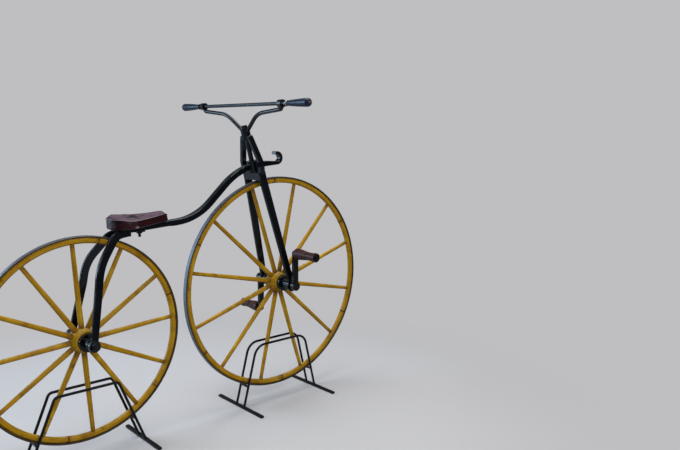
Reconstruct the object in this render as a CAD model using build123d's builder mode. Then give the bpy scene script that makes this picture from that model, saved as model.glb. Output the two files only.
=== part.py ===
from build123d import *
import math
import os

os.makedirs("parts", exist_ok=True)

# A boneshaker velocipede on its two display stands.
# X runs forward, Y to the rider's left and Z up from the floor. All sizes are in millimetres.

# Driving dimensions of the whole machine
front_tyre_radius = 457.0
rear_tyre_radius = 368.0
wheel_gap = 35.0
wheel_lift = 60.0
rake_angle = 14.5

# Clearances
seat_gap = 0.2
stand_gap = 0.3
running_fit = 0.05
felloe_joint = 0.5
arm_gap = 1.0

# Wooden wheels
spoke_count = 12
felloe_count = 6
tyre_width = 22.0
tyre_thickness = 6.0
felloe_width = 20.0
felloe_depth = 20.0
felloe_chamfer = 5.0
spoke_foot_radius = 10.0
spoke_tip_radius = 7.5
spoke_tenon = 12.0
spoke_seat = 4.0
nave_half_length = 34.0
nave_belly_radius = 45.0
nave_end_radius = 37.0
nave_ring_length = 7.0
nave_groove_depth = 3.0
band_radius = 32.0
band_length = 15.0
hub_neck_radius = 20.0
hub_half_length = 82.0
front_spoke_phase = 17.9
rear_spoke_phase = 4.2

# Axles, cranks and pedals
front_axle_radius = 10.0
rear_axle_radius = 9.0
fork_eye_offset = 96.0
fork_eye_width = 16.0
fork_eye_radius = 26.0
bush_wall = 5.0
crank_length = 140.0
crank_clearance = 6.0
crank_boss_radius = 19.0
crank_boss_width = 21.0
crank_root_radius = 14.0
crank_pedal_radius = 12.0
crank_thickness = 12.0
crank_eye_width = 14.0
pedal_pin_radius = 6.0
pedal_clearance = 5.0
pedal_length = 122.0
pedal_inner_radius = 23.0
pedal_waist_radius = 17.0
pedal_outer_radius = 19.0
pedal_flange_length = 19.0
pedal_waist_place = 73.0
pedal_cap_length = 14.0
pedal_nut_radius = 13.0
pedal_nut_height = 6.0

# Fork, with its blades tapering from the crown down to the eyes
blade_depth_top = 34.0
blade_depth_bottom = 28.0
blade_thickness = 15.0
blade_edge = 4.0
blade_foot = 18.0
crown_gap = 9.0
crown_height = 30.0
crown_shoulder = 8.0
crown_half_width = 59.5
crown_half_depth = 17.0
crown_edge = 5.0

# Open steering head
collar_height = 7.0
eye_height = 40.0
eye_radius = 23.0
upright_depth = 22.0
upright_thickness = 15.0
upright_spread = 60.0
elbow_level = 28.0
elbow_half_height = 9.0
upright_bend = 12.0
head_height = 147.0
head_boss_height = 16.0
head_boss_radius = 19.0
steering_pin_radius = 10.0
pin_floor = 12.0
bar_boss_height = 30.0
nut_radius = 13.0
nut_height = 10.0

# Handlebar
bar_rise = 124.0
twist_bar_radius = 7.0
bar_arm_radius = 8.0
bar_bend_place = 105.0
bar_bend_drop = 36.0
bar_bend_radius = 135.0
bar_hook_reach = 5.0
bar_hook_drop = 21.0
bar_hook_radius = 12.0
lug_offset = 267.0
lug_radius = 15.0
lug_length = 22.0
ferrule_length = 20.0
ferrule_radius = 12.0
ferrule_neck = 9.0
ferrule_ring = 5.0
grip_length = 136.0
grip_neck_radius = 9.0
grip_middle_radius = 14.0
grip_bulb_radius = 16.0

# Backbone: a serpentine bar from the rear fork to a scroll ahead of the head
backbone_width = 28.0
backbone_depth = 23.0
backbone_tail_depth = 18.0
tail_reach = 182.0
tail_gap = 4.9
tail_slope = 4.6
tail_run = 193.5
taper_back = 40.0
taper_length = 20.0
rise_length = 95.0
lower_bend_share = 4 / 9
eye_slope = 13.2
nose_slope = 2.0
scroll_reach = 121.0
scroll_radius = 21.0
scroll_depth = 14.0
scroll_return = 10.0
scroll_chamfer = 2.2

# Rear fork arms, deepest where they leave the backbone
arm_depth = 30.0
arm_foot_depth = 24.0
arm_thickness = 14.0
arm_edge = 3.0
arm_level_run = 18.0
arm_section_count = 24
arm_bend_radii = [30.0, 60.0, 160.0, 400.0]
rear_eye_radius = 20.0
rear_nut_radius = 15.0
rear_nut_height = 12.0
axle_stub = 3.0

# Saddle, placed back from the backbone's taper
saddle_rear_radius = 72.0
saddle_nose_radius = 26.0
saddle_run = 131.0
saddle_nose_gap = 12.0
saddle_depth = 27.0
saddle_crown = 9.0
saddle_crown_inset = 17.0
saddle_plate_depth = 3.0
saddle_plate_inset = 12.0
saddle_edge = 7.0
clamp_place = 42.0
clamp_length = 30.0
clamp_wall = 3.5
saddle_bolt_radius = 5.0
saddle_bolt_drop = 18.0
saddle_nut_radius = 10.0
saddle_nut_height = 5.0

# Display stands bent from round rod
rod_radius = 5.0
hoop_spacing = 54.0
foot_width = 14.0
foot_height = 8.0
front_foot_half = 157.0
rear_foot_half = 132.0
front_hoop_base = 198.0
front_hoop_top = 132.0
front_hoop_height = 260.0
front_hoop_bend = 55.0
rear_hoop_base = 216.0
rear_hoop_top = 113.0
rear_hoop_height = 255.0
rear_hoop_bend = 18.0

# Places worked out from the driving dimensions, with levels counted up the steering axis
wheelbase = front_tyre_radius + rear_tyre_radius + wheel_gap
rear_hub_x = -(wheelbase + front_tyre_radius - rear_tyre_radius) / 2
front_hub_x = rear_hub_x + wheelbase
front_hub = Vector(front_hub_x, 0, front_tyre_radius + wheel_lift)
rear_hub = Vector(rear_hub_x, 0, rear_tyre_radius + wheel_lift)
rake = math.radians(rake_angle)
steer_plane = Plane(
    origin=front_hub,
    x_dir=(math.cos(rake), 0, math.sin(rake)),
    z_dir=(-math.sin(rake), 0, math.cos(rake)),
)
head_plane = Plane(
    origin=front_hub,
    x_dir=(0, 1, 0),
    z_dir=(math.cos(rake), 0, math.sin(rake)),
)
crown_bottom = front_tyre_radius + crown_gap
crown_top = crown_bottom + crown_height
eye_bottom = crown_top + collar_height
head_top = eye_bottom + head_height
twist_bar_level = head_top + bar_rise
tail_height = rear_hub.Z + rear_tyre_radius + tail_gap


def keep(builder, name):
    """Label a finished piece and write it to its own file."""
    builder.part.label = name
    export_step(builder.part, f"parts/{name}.step")


def wrapped_circles(first, first_radius, second, second_radius):
    """Outline of a band drawn tight round two circles."""
    with BuildSketch() as outline:
        with BuildLine():
            CenterArc(first, first_radius, 0, 360)
            CenterArc(second, second_radius, 0, 360)
        make_hull()
    return outline.sketch


def side_plane(hub):
    """Plane of a wheel, seen from the right side of the machine."""
    return Plane(origin=hub, x_dir=(1, 0, 0), z_dir=(0, -1, 0))


def turning_plane(hub):
    """Plane that holds a wheel's axle: local x runs along the axle, local y up."""
    return Plane(origin=hub, x_dir=(0, 1, 0), z_dir=(1, 0, 0))


# Wheels: iron tyre, wooden felloes, spokes and nave, and the iron bands that close the nave


def build_wheel(prefix, hub, tyre_radius, spoke_phase, band_bore):
    """Make one wooden wheel about its hub."""
    axle = Axis(hub, (0, 1, 0))
    felloe_outer = tyre_radius - tyre_thickness - seat_gap
    felloe_inner = felloe_outer - felloe_depth
    felloe_middle = (felloe_outer + felloe_inner) / 2
    spoke_start = nave_belly_radius - spoke_seat
    spoke_end = felloe_inner + spoke_tenon
    joint_phase = spoke_phase + 180.0 / spoke_count
    ring_start = nave_half_length - nave_ring_length
    groove_end = ring_start - nave_groove_depth

    with BuildPart() as tyre:
        with BuildSketch(turning_plane(hub)) as section:
            with Locations((0, tyre_radius - tyre_thickness / 2)):
                Rectangle(tyre_width, tyre_thickness)
            chamfer(section.vertices().group_by(Axis.Z)[-1], tyre_thickness / 4)
        revolve(axis=axle)
    keep(tyre, prefix + "_tyre")

    with BuildPart(side_plane(hub)) as felloes:
        with BuildSketch(turning_plane(hub)) as section:
            with Locations((0, felloe_middle)):
                Rectangle(felloe_width, felloe_depth)
            chamfer(section.vertices().group_by(Axis.Z)[0], felloe_chamfer)
        revolve(axis=axle)
        with PolarLocations(felloe_inner, spoke_count, start_angle=spoke_phase):
            Cylinder(
                spoke_tip_radius + seat_gap,
                2 * (spoke_tenon + seat_gap),
                rotation=(0, 90, 0),
                mode=Mode.SUBTRACT,
            )
        with PolarLocations(felloe_middle, felloe_count, start_angle=joint_phase):
            Box(2 * felloe_depth, felloe_joint, 2 * felloe_width, mode=Mode.SUBTRACT)
    keep(felloes, prefix + "_felloes")

    with BuildPart(side_plane(hub)) as spokes:
        with PolarLocations(spoke_start, spoke_count, start_angle=spoke_phase):
            Cone(
                spoke_foot_radius,
                spoke_tip_radius,
                spoke_end - spoke_start,
                rotation=(0, 90, 0),
                align=(Align.CENTER, Align.CENTER, Align.MIN),
            )
    keep(spokes, prefix + "_spokes")

    with BuildPart(side_plane(hub)) as nave:
        with BuildSketch(turning_plane(hub)):
            with BuildLine():
                ThreePointArc(
                    (-groove_end, nave_end_radius),
                    (0, nave_belly_radius),
                    (groove_end, nave_end_radius),
                )
                Polyline(
                    (groove_end, nave_end_radius),
                    (groove_end, nave_end_radius - nave_groove_depth),
                    (ring_start, nave_end_radius - nave_groove_depth),
                    (ring_start, nave_end_radius),
                    (nave_half_length, nave_end_radius),
                    (nave_half_length, band_bore + seat_gap),
                    (-nave_half_length, band_bore + seat_gap),
                    (-nave_half_length, nave_end_radius),
                    (-ring_start, nave_end_radius),
                    (-ring_start, nave_end_radius - nave_groove_depth),
                    (-groove_end, nave_end_radius - nave_groove_depth),
                    (-groove_end, nave_end_radius),
                )
            make_face()
        revolve(axis=axle)
        with PolarLocations(spoke_start - seat_gap, spoke_count, start_angle=spoke_phase):
            Cylinder(
                spoke_foot_radius + seat_gap,
                2 * spoke_seat,
                rotation=(0, 90, 0),
                align=(Align.CENTER, Align.CENTER, Align.MIN),
                mode=Mode.SUBTRACT,
            )
    keep(nave, prefix + "_nave")

    with BuildPart() as bands:
        for side in (-1, 1):
            start = side * nave_half_length
            shoulder = side * (nave_half_length + band_length)
            end = side * hub_half_length
            with BuildSketch(turning_plane(hub)):
                with BuildLine():
                    Polyline(
                        (start, band_bore),
                        (start, band_radius),
                        (shoulder, band_radius),
                        (shoulder, hub_neck_radius),
                        (end, hub_neck_radius),
                        (end, band_bore),
                        close=True,
                    )
                make_face()
            revolve(axis=axle)
    keep(bands, prefix + "_nave_bands")


build_wheel(
    "front", front_hub, front_tyre_radius, front_spoke_phase, front_axle_radius + seat_gap
)
build_wheel(
    "rear", rear_hub, rear_tyre_radius, rear_spoke_phase, rear_axle_radius + running_fit
)

# Front axle with its two cranks, set opposite each other, and the pedals that spin on their pins

crank_inner = fork_eye_offset + fork_eye_width / 2 + crank_clearance
crank_outer = crank_inner + crank_boss_width
crank_middle = (crank_inner + crank_outer) / 2
pedal_inner = crank_middle + crank_eye_width / 2 + pedal_clearance
pedal_outer = pedal_inner + pedal_length

with BuildPart(turning_plane(front_hub)) as front_axle:
    Cylinder(front_axle_radius, 2 * crank_outer, rotation=(0, 90, 0))
keep(front_axle, "front_axle")

# A crank's side, whether it stands up or hangs down, and its name
crank_table = [
    (-1, 1, "right"),
    (1, -1, "left"),
]

for side, upward, name in crank_table:
    pedal_centre = front_hub + Vector(0, 0, upward * crank_length)
    boss_plane = side_plane(front_hub).offset(-side * crank_middle)
    arm_outline = wrapped_circles(
        (0, 0), crank_root_radius, (0, upward * crank_length), crank_pedal_radius
    )

    with BuildPart(boss_plane) as crank:
        Cylinder(crank_boss_radius, crank_boss_width)
        with Locations((0, upward * crank_length)):
            Cylinder(crank_pedal_radius, crank_eye_width)
        with BuildSketch(boss_plane):
            add(arm_outline)
        extrude(amount=crank_thickness / 2, both=True)
        Cylinder(front_axle_radius + seat_gap, 2 * crank_boss_width, mode=Mode.SUBTRACT)
        with Locations((0, upward * crank_length)):
            Cylinder(pedal_pin_radius + seat_gap, 2 * crank_boss_width, mode=Mode.SUBTRACT)
    keep(crank, "crank_" + name)

    pin_start = crank_middle - crank_eye_width / 2
    pin_end = pedal_outer + seat_gap
    with BuildPart() as pin:
        with BuildSketch(turning_plane(pedal_centre)):
            with Locations((side * (pin_start + pin_end) / 2, pedal_pin_radius / 2)):
                Rectangle(pin_end - pin_start, pedal_pin_radius)
            with Locations((side * (pin_end + pedal_nut_height / 2), pedal_nut_radius / 2)):
                Rectangle(pedal_nut_height, pedal_nut_radius)
        revolve(axis=Axis(pedal_centre, (0, 1, 0)))
    keep(pin, "pedal_pin_" + name)

    with BuildPart() as pedal:
        with BuildSketch(turning_plane(pedal_centre)):
            bore = pedal_pin_radius + running_fit
            flange = pedal_inner + pedal_flange_length
            waist = pedal_inner + pedal_waist_place
            cap = pedal_outer - pedal_cap_length
            with BuildLine():
                Polyline(
                    (side * waist, pedal_waist_radius),
                    (side * cap, pedal_waist_radius),
                    (side * cap, pedal_outer_radius),
                    (side * pedal_outer, pedal_outer_radius),
                    (side * pedal_outer, bore),
                    (side * pedal_inner, bore),
                    (side * pedal_inner, pedal_inner_radius),
                    (side * flange, pedal_inner_radius),
                    close=True,
                )
            make_face()
        revolve(axis=Axis(pedal_centre, (0, 1, 0)))
    keep(pedal, "pedal_" + name)

# Fork blades, each drawn out flat and ending in an eye with a bush for the front axle

bush_radius = front_axle_radius + running_fit + bush_wall
blade_top_offset = crown_half_width - blade_thickness / 2

for side, name in ((-1, "right"), (1, "left")):
    eye_plane = side_plane(front_hub).offset(-side * fork_eye_offset)
    with BuildPart() as blade:
        with BuildSketch(steer_plane.offset(crown_bottom)):
            with Locations((0, side * blade_top_offset)):
                RectangleRounded(blade_depth_top, blade_thickness, blade_edge)
        with BuildSketch(steer_plane.offset(blade_foot)):
            with Locations((0, side * fork_eye_offset)):
                RectangleRounded(blade_depth_bottom, blade_thickness, blade_edge)
        loft()
        with BuildSketch(eye_plane.offset(-fork_eye_width / 2)):
            Circle(fork_eye_radius)
        extrude(amount=fork_eye_width)
        with BuildSketch(eye_plane.offset(-fork_eye_width / 2)):
            Circle(bush_radius + seat_gap)
        extrude(amount=fork_eye_width, mode=Mode.SUBTRACT)
    keep(blade, "fork_blade_" + name)

with BuildPart() as bushes:
    for side in (-1, 1):
        with BuildSketch(side_plane(front_hub).offset(-side * fork_eye_offset - fork_eye_width / 2)):
            Circle(bush_radius)
            Circle(front_axle_radius + running_fit, mode=Mode.SUBTRACT)
        extrude(amount=fork_eye_width)
keep(bushes, "fork_bushes")

# Open steering head: the crown, two bowed uprights round the backbone, and the boss that ties them

elbow_height = eye_bottom + elbow_level
upright_half = upright_thickness / 2
neck_half = head_boss_radius + upright_half
neck_level = head_top - head_boss_height
pin_seat = crown_bottom + pin_floor

# Half outlines of the bowed uprights, as (offset from the axis, level), outer line and inner line
outer_line = [
    (crown_half_width, crown_bottom),
    (crown_half_width, crown_top - crown_shoulder),
    (upright_spread + upright_half, elbow_height - elbow_half_height),
    (upright_spread + upright_half, elbow_height + elbow_half_height),
    (neck_half + upright_half, neck_level),
    (neck_half, head_top),
]
inner_line = [
    (crown_half_width - upright_thickness, crown_top),
    (upright_spread - upright_half, elbow_height - elbow_half_height),
    (upright_spread - upright_half, elbow_height + elbow_half_height),
    (neck_half - upright_half, neck_level),
]

with BuildPart(steer_plane) as head:
    for line, mode in ((outer_line, Mode.ADD), (inner_line, Mode.SUBTRACT)):
        mirrored = [(-y, level) for y, level in reversed(line)]
        with BuildSketch(head_plane):
            with BuildLine():
                FilletPolyline(*line, *mirrored, radius=upright_bend / 2, close=True)
            make_face()
        extrude(amount=upright_depth / 2, both=True, mode=mode)
    with BuildSketch(steer_plane.offset(crown_bottom)):
        RectangleRounded(2 * crown_half_depth, 2 * crown_half_width, crown_edge)
    extrude(amount=crown_height)
    with BuildSketch(steer_plane.offset(crown_top)):
        Circle(eye_radius)
    extrude(amount=collar_height - stand_gap)
    with BuildSketch(steer_plane.offset(neck_level)):
        Circle(head_boss_radius)
    extrude(amount=head_boss_height)
    with BuildSketch(steer_plane.offset(pin_seat)):
        Circle(steering_pin_radius + seat_gap)
    extrude(amount=head_top - pin_seat, mode=Mode.SUBTRACT)
keep(head, "steering_head")

bar_boss_top = head_top + seat_gap + bar_boss_height
nut_bottom = bar_boss_top + seat_gap

with BuildPart(steer_plane) as steering_pin:
    with Locations((0, 0, pin_seat + seat_gap)):
        Cylinder(
            steering_pin_radius,
            nut_bottom - seat_gap - pin_seat,
            align=(Align.CENTER, Align.CENTER, Align.MIN),
        )
keep(steering_pin, "steering_pin")

with BuildPart() as head_nut:
    with BuildSketch(steer_plane.offset(nut_bottom + seat_gap)):
        RegularPolygon(nut_radius, 6)
    extrude(amount=nut_height)
keep(head_nut, "head_nut")

# Handlebar: a boss on the steering pin, two bent arms and an eye at each end for the twist bar

arm_root = head_top + seat_gap + bar_boss_height / 2
bar_path_points = [
    (head_boss_radius - bar_arm_radius, arm_root),
    (bar_bend_place, twist_bar_level - bar_bend_drop),
    (lug_offset - bar_hook_reach, twist_bar_level - bar_hook_drop),
    (lug_offset, twist_bar_level - twist_bar_radius - seat_gap),
]
bar_path_bends = [bar_bend_radius, bar_hook_radius]

with BuildPart(steer_plane) as handlebar:
    with Locations((0, 0, arm_root)):
        Cylinder(head_boss_radius, bar_boss_height)
    for side in (-1, 1):
        with BuildLine(head_plane) as arm_path:
            FilletPolyline(
                *[(side * y, level) for y, level in bar_path_points], radius=bar_path_bends
            )
        with BuildSketch(Plane(origin=arm_path.line @ 0, z_dir=arm_path.line % 0)):
            Circle(bar_arm_radius)
        sweep(path=arm_path.line)
        with BuildSketch(Plane(
            origin=steer_plane.from_local_coords((0, side * lug_offset, twist_bar_level)),
            z_dir=(0, 1, 0),
        )):
            Circle(lug_radius)
        extrude(amount=lug_length / 2, both=True)
        with BuildSketch(Plane(
            origin=steer_plane.from_local_coords((0, side * lug_offset, twist_bar_level)),
            z_dir=(0, 1, 0),
        )):
            Circle(twist_bar_radius + seat_gap)
        extrude(amount=lug_length, both=True, mode=Mode.SUBTRACT)
    Cylinder(
        steering_pin_radius + seat_gap,
        2 * twist_bar_level,
        mode=Mode.SUBTRACT,
    )
keep(handlebar, "handlebar")

bar_centre = steer_plane.from_local_coords((0, 0, twist_bar_level))
bar_axis = Axis(bar_centre, (0, 1, 0))
lug_outer = lug_offset + lug_length / 2
ferrule_outer = lug_outer + seat_gap + ferrule_length

with BuildPart() as twist_bar:
    with BuildSketch(Plane(origin=bar_centre, z_dir=(0, 1, 0))):
        Circle(twist_bar_radius)
    extrude(amount=ferrule_outer, both=True)
keep(twist_bar, "twist_bar")

with BuildPart() as ferrules:
    for side in (-1, 1):
        with BuildSketch(turning_plane(bar_centre)):
            with BuildLine():
                Polyline(
                    (side * (lug_outer + seat_gap), twist_bar_radius + seat_gap),
                    (side * (lug_outer + seat_gap), ferrule_radius),
                    (side * (lug_outer + ferrule_ring), ferrule_radius),
                    (side * (lug_outer + ferrule_ring), ferrule_neck),
                    (side * (ferrule_outer - ferrule_ring), ferrule_neck),
                    (side * (ferrule_outer - ferrule_ring), ferrule_radius),
                    (side * ferrule_outer, ferrule_radius),
                    (side * ferrule_outer, twist_bar_radius + seat_gap),
                    close=True,
                )
            make_face()
        revolve(axis=bar_axis)
keep(ferrules, "grip_ferrules")

for side, name in ((-1, "right"), (1, "left")):
    grip_start = ferrule_outer + seat_gap
    grip_end = grip_start + grip_length
    with BuildPart() as grip:
        with BuildSketch(turning_plane(bar_centre)):
            with BuildLine():
                Line((side * grip_start, 0), (side * grip_start, grip_neck_radius))
                ThreePointArc(
                    (side * grip_start, grip_neck_radius),
                    (side * (grip_start + grip_end) / 2, grip_middle_radius),
                    (side * (grip_end - grip_bulb_radius), grip_bulb_radius),
                )
                CenterArc(
                    (side * (grip_end - grip_bulb_radius), 0), grip_bulb_radius, 90, -side * 90
                )
                Line((side * grip_end, 0), (side * grip_start, 0))
            make_face()
        revolve(axis=bar_axis)
    keep(grip, "grip_" + name)

# Backbone: one bevelled bar that carries the saddle, climbs over the wheels and turns in a scroll

backbone_plane = Plane.XZ
tail_start = Vector(rear_hub_x + tail_reach, tail_height)


def heading(angle):
    """Unit direction in the backbone's side view, as a pair."""
    return (math.cos(math.radians(angle)), math.sin(math.radians(angle)))


def along(point, angle, distance):
    """Point at a distance from another, in the backbone's side view."""
    return Vector(point.X + heading(angle)[0] * distance, point.Y + heading(angle)[1] * distance)


def arc_end(point, start_angle, end_angle, radius):
    """End of an arc that starts at a point and turns from one heading to another."""
    turn = 1 if end_angle > start_angle else -1
    start, end = math.radians(start_angle), math.radians(end_angle)
    return Vector(
        point.X + turn * radius * (math.sin(end) - math.sin(start)),
        point.Y + turn * radius * (math.cos(start) - math.cos(end)),
    )


eye_level = eye_bottom + eye_height / 2
eye_middle = Vector(
    front_hub_x - eye_level * math.sin(rake),
    front_hub.Z + eye_level * math.cos(rake),
)

# The bar leaves the tail straight, and its two bends and the rise between them lead to the eye.
# How far it turns, and the radii of the bends, follow from the way and the climb to the eye.
upper_bend_share = 1 - lower_bend_share
eye_turn = math.radians(eye_slope - tail_slope)
level_share = lower_bend_share + upper_bend_share * math.cos(eye_turn)
steep_share = upper_bend_share * math.sin(eye_turn)
eye_reach = (eye_middle - tail_start).dot(Vector(*heading(tail_slope))) - tail_run
eye_climb = (eye_middle - tail_start).dot(Vector(*heading(tail_slope + 90)))
whole_reach = eye_reach + level_share * rise_length
whole_climb = eye_climb + steep_share * rise_length
turned_reach = level_share * eye_reach + steep_share * eye_climb + rise_length
rise_turn = math.atan2(whole_climb, whole_reach) + math.acos(
    turned_reach / math.hypot(whole_reach, whole_climb)
)
rise_angle = tail_slope + math.degrees(rise_turn)
bends = (eye_climb - rise_length * math.sin(rise_turn)) / (level_share - math.cos(rise_turn))
lower_bend_radius = lower_bend_share * bends
upper_bend_radius = upper_bend_share * bends
tail_end = along(tail_start, tail_slope, tail_run)
taper_start = along(tail_end, tail_slope, -taper_back)
taper_end = along(taper_start, tail_slope, taper_length)
rise_start = arc_end(tail_end, tail_slope, rise_angle, lower_bend_radius)
rise_end = along(rise_start, rise_angle, rise_length)
nose_start = arc_end(rise_end, rise_angle, nose_slope, upper_bend_radius)
nose_run = eye_middle.X + scroll_reach - nose_start.X
nose_end = along(nose_start, nose_slope, nose_run)
scroll_top = along(nose_end, nose_slope + 90, 2 * scroll_radius)


def bar_edge(point, angle, offset):
    """Point beside the centreline, square to its heading."""
    across = heading(angle + 90)
    return (point.X + across[0] * offset, point.Y + across[1] * offset)


with BuildPart() as backbone:
    with BuildSketch(backbone_plane):
        with BuildLine():
            Line(taper_end, tail_end)
            JernArc(
                tail_end, heading(tail_slope), lower_bend_radius, rise_angle - tail_slope
            )
            Line(rise_start, rise_end)
            JernArc(
                rise_end, heading(rise_angle), upper_bend_radius, nose_slope - rise_angle
            )
        trace(line_width=backbone_depth)
        with BuildLine():
            Polyline(
                bar_edge(tail_start, tail_slope, backbone_tail_depth / 2),
                bar_edge(taper_start, tail_slope, backbone_tail_depth / 2),
                bar_edge(taper_end, tail_slope, backbone_depth / 2),
                bar_edge(taper_end, tail_slope, -backbone_depth / 2),
                bar_edge(taper_start, tail_slope, -backbone_tail_depth / 2),
                bar_edge(tail_start, tail_slope, -backbone_tail_depth / 2),
                close=True,
            )
        make_face()
        with BuildLine():
            Polyline(
                bar_edge(nose_start, nose_slope, backbone_depth / 2),
                bar_edge(nose_end, nose_slope, scroll_depth / 2),
                bar_edge(nose_end, nose_slope, -scroll_depth / 2),
                bar_edge(nose_start, nose_slope, -backbone_depth / 2),
                close=True,
            )
        make_face()
        with BuildLine():
            JernArc(nose_end, heading(nose_slope), scroll_radius, 180)
            Line(scroll_top, along(scroll_top, nose_slope, -scroll_return))
        trace(line_width=scroll_depth)
    extrude(amount=backbone_width / 2, both=True)
    for side_face in backbone.faces().filter_by(Axis.Y):
        long_edges = side_face.edges().filter_by(lambda edge: edge.length > backbone_depth + 1)
        chamfer(long_edges, scroll_chamfer)
    with Locations(steer_plane):
        with Locations((0, 0, eye_bottom)):
            Cylinder(
                eye_radius, eye_height, align=(Align.CENTER, Align.CENTER, Align.MIN)
            )
            Cylinder(
                steering_pin_radius + running_fit,
                2 * eye_height,
                mode=Mode.SUBTRACT,
            )
keep(backbone, "backbone")

# Rear fork: two flat arms that leave the backbone's tail, open round the wheel and end in eyes

arm_start = along(tail_start, tail_slope + 90, (backbone_tail_depth - arm_depth) / 2 - arm_gap)
arm_level_end = along(arm_start, tail_slope, -arm_level_run)
arm_fall = arm_start.Y - rear_hub.Z
arm_inset = (arm_thickness + arm_gap) / 2

# Corners of an arm's line, as shares of its reach ahead, its offset at the eye and its fall
arm_corners = [
    (0.66, 0.25, 0.015),
    (0.25, 0.625, 0.284),
    (0.187, 0.7, 0.503),
    (0, 1, 1),
]


def arm_line(side):
    """Centreline of one arm, as a list of points from the tail down to the eye."""
    points = [
        (arm_start.X, side * arm_inset, arm_start.Y),
        (arm_level_end.X, side * arm_inset, arm_level_end.Y),
    ]
    for ahead, aside, down in arm_corners:
        points.append((
            rear_hub_x + ahead * tail_reach,
            side * aside * fork_eye_offset,
            arm_start.Y - down * arm_fall,
        ))
    return points


for side, name in ((-1, "right"), (1, "left")):
    eye_plane = side_plane(rear_hub).offset(-side * fork_eye_offset)
    with BuildPart() as arm:
        with BuildLine() as arm_path:
            FilletPolyline(*arm_line(side), radius=arm_bend_radii)
        for step in range(arm_section_count + 1):
            share = step / arm_section_count
            direction = arm_path.line % share
            upright = Vector(-direction.Z, 0, direction.X)
            with BuildSketch(Plane(
                origin=arm_path.line @ share,
                x_dir=direction.cross(upright),
                z_dir=direction,
            )):
                RectangleRounded(
                    arm_thickness,
                    arm_depth + (arm_foot_depth - arm_depth) * share,
                    arm_edge,
                )
        loft()
        split(bisect_by=Plane(origin=(0, side * arm_gap / 2, 0), z_dir=(0, side, 0)))
        with BuildSketch(eye_plane.offset(-fork_eye_width / 2)):
            Circle(rear_eye_radius)
        extrude(amount=fork_eye_width)
        with BuildSketch(eye_plane.offset(-fork_eye_width)):
            Circle(rear_axle_radius + seat_gap)
        extrude(amount=2 * fork_eye_width, mode=Mode.SUBTRACT)
    keep(arm, "rear_arm_" + name)

rear_axle_end = fork_eye_offset + fork_eye_width / 2 + rear_nut_height + axle_stub

with BuildPart(turning_plane(rear_hub)) as rear_axle:
    Cylinder(rear_axle_radius, 2 * rear_axle_end, rotation=(0, 90, 0))
keep(rear_axle, "rear_axle")

with BuildPart() as rear_nuts:
    for side in (-1, 1):
        nut_start = fork_eye_offset + fork_eye_width / 2 + seat_gap
        with BuildSketch(Plane(
            origin=rear_hub + Vector(0, side * nut_start, 0), z_dir=(0, side, 0)
        )):
            RegularPolygon(rear_nut_radius, 6)
            Circle(rear_axle_radius + seat_gap, mode=Mode.SUBTRACT)
        extrude(amount=rear_nut_height)
keep(rear_nuts, "rear_axle_nuts")

# Saddle: a padded leather teardrop on an iron plate, strapped to the backbone's tail

saddle_half_run = saddle_run / 2
nose_back = saddle_nose_gap + saddle_nose_radius - saddle_plate_inset
saddle_middle = along(taper_start, tail_slope, -nose_back - saddle_half_run)
seat_direction = heading(tail_slope)
saddle_plane = Plane(
    origin=(saddle_middle.X, 0, saddle_middle.Y),
    x_dir=(seat_direction[0], 0, seat_direction[1]),
    z_dir=(-seat_direction[1], 0, seat_direction[0]),
)
plate_bottom = backbone_tail_depth / 2 + seat_gap
pad_bottom = plate_bottom + saddle_plate_depth + seat_gap


pad_outline = wrapped_circles(
    (-saddle_half_run, 0), saddle_rear_radius, (saddle_half_run, 0), saddle_nose_radius
)

with BuildPart() as saddle_plate:
    with BuildSketch(saddle_plane.offset(plate_bottom)):
        add(pad_outline)
        offset(amount=-saddle_plate_inset)
    extrude(amount=saddle_plate_depth)
keep(saddle_plate, "saddle_plate")

with BuildPart() as saddle:
    with BuildSketch(saddle_plane.offset(pad_bottom)):
        add(pad_outline)
    extrude(amount=saddle_depth)
    with BuildSketch(saddle_plane.offset(pad_bottom + saddle_depth)):
        add(pad_outline)
    extrude(
        amount=saddle_crown,
        taper=math.degrees(math.atan2(saddle_crown_inset, saddle_crown)),
    )
    upward = Axis((0, 0, 0), saddle_plane.z_dir)
    rim = saddle.edges().group_by(upward)
    fillet(rim[-1], saddle_edge)
keep(saddle, "saddle")

clamp_shift = clamp_place - saddle_half_run
clamp_height = backbone_tail_depth + clamp_wall + seat_gap

with BuildPart(saddle_plane) as clamp:
    with Locations((clamp_shift, 0, backbone_tail_depth / 2 - clamp_height / 2)):
        Box(clamp_length, backbone_width + 2 * (clamp_wall + seat_gap), clamp_height)
    with Locations((clamp_shift, 0, 0)):
        Box(
            clamp_length,
            backbone_width + 2 * seat_gap,
            backbone_tail_depth + 2 * seat_gap,
            mode=Mode.SUBTRACT,
        )
keep(clamp, "saddle_clamp")

with BuildPart(saddle_plane) as saddle_bolt:
    strap_bottom = backbone_tail_depth / 2 - clamp_height - seat_gap
    with Locations((clamp_shift, 0, strap_bottom)):
        Cylinder(
            saddle_nut_radius,
            saddle_nut_height,
            align=(Align.CENTER, Align.CENTER, Align.MAX),
        )
        Cylinder(
            saddle_bolt_radius,
            saddle_bolt_drop,
            align=(Align.CENTER, Align.CENTER, Align.MAX),
        )
keep(saddle_bolt, "saddle_bolt")

# Display stands: two bent rod hoops on flat feet, with cross bars that cradle the tyre


def cradle_height(hub_height, reach, base, top, height):
    """Height on a hoop's leg at which a cross bar lies at a given reach from the hub."""
    lean = (base - top) / height
    a = lean * lean + 1
    b = -2 * (lean * base + hub_height)
    c = base * base + hub_height * hub_height - reach * reach
    return (-b - math.sqrt(b * b - 4 * a * c)) / (2 * a)


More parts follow.
